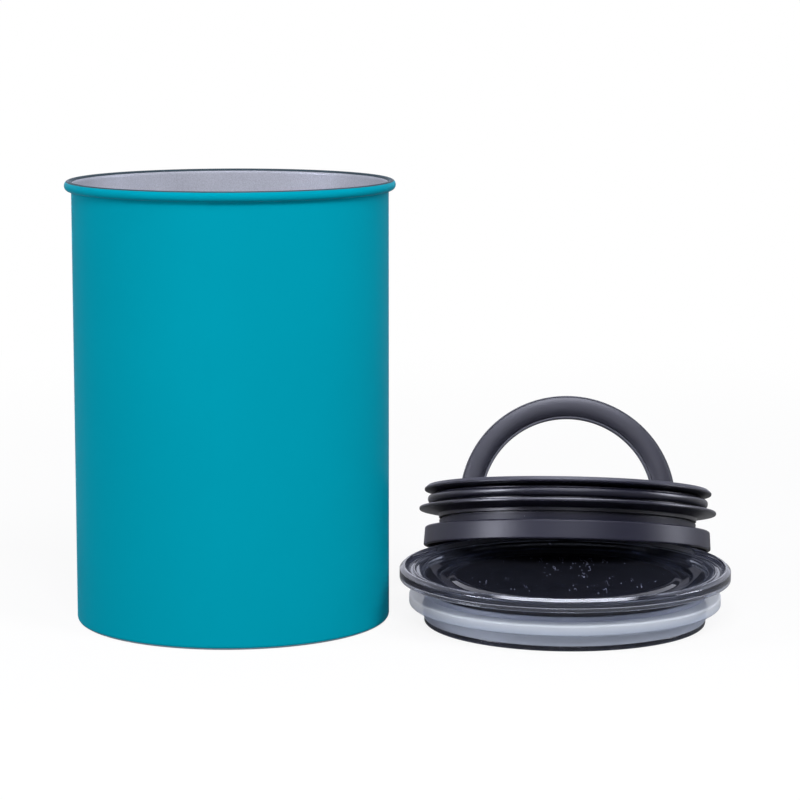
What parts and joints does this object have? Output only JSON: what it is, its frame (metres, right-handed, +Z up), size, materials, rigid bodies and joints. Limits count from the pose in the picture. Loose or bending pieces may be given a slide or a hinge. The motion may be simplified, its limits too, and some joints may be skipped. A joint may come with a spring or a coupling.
{
  "type": "coffee canister with valve lid",
  "caption": "Round steel storage canister with a rolled rim, a tinted press-in cover and a plunger lid whose bail handle works an air valve.",
  "frame": {"origin": "middle of the canister's base, on the table", "axes": "+Z up along the canister's axis, +X towards the lids beside it, +Y to the back"},
  "size_m": [0.2698, 0.2027, 0.1784],
  "materials": {
    "teal_paint": "satin powder coat, bare steel inside",
    "tinted_plastic": "polished smoke-grey transparent plastic",
    "pale_silicone": "translucent satin silicone",
    "black_plastic": "satin moulded",
    "black_rubber": "satin",
    "grey_plastic": "satin moulded",
    "bare_steel": "drawn wire"
  },
  "bodies": {
    "canister": {"canister_wall": "teal_paint", "canister_base": "teal_paint"},
    "outer_lid": {"cover_shell": "tinted_plastic", "cover_seal": "pale_silicone"},
    "inner_lid": {"lid_base": "black_plastic", "lid_tray": "black_plastic", "wiper_ring": "black_rubber", "handle_pins": "bare_steel", "valve_spring": "bare_steel"},
    "handle": {"handle": "black_plastic"},
    "valve": {"valve_plunger": "grey_plastic", "valve_seal": "black_rubber"}
  },
  "joints": [
    {"name": "outer_lid_lift", "type": "slide", "parent": "canister", "child": "outer_lid", "axis": [0, 0, 1], "range_m": [0, 0.2]},
    {"name": "inner_lid_lift", "type": "slide", "parent": "outer_lid", "child": "inner_lid", "axis": [0, 0, 1], "range_m": [0, 0.2]},
    {"name": "handle_fold", "type": "hinge", "parent": "inner_lid", "child": "handle", "pos_m": [0.13997, 0.06679, 0.03492], "axis": [0.9997, 0, -0.0244], "range_deg": [0, 95]},
    {"name": "valve_stroke", "type": "slide", "parent": "inner_lid", "child": "valve", "axis": [-0.0236, -0.2556, -0.9665], "range_m": [0, 0.0022], "deforming": ["valve_spring"]}
  ],
  "couplings": [
    {"joint": "valve_stroke", "follows": "handle_fold", "m_per_rad": 0.0013268}
  ]
}
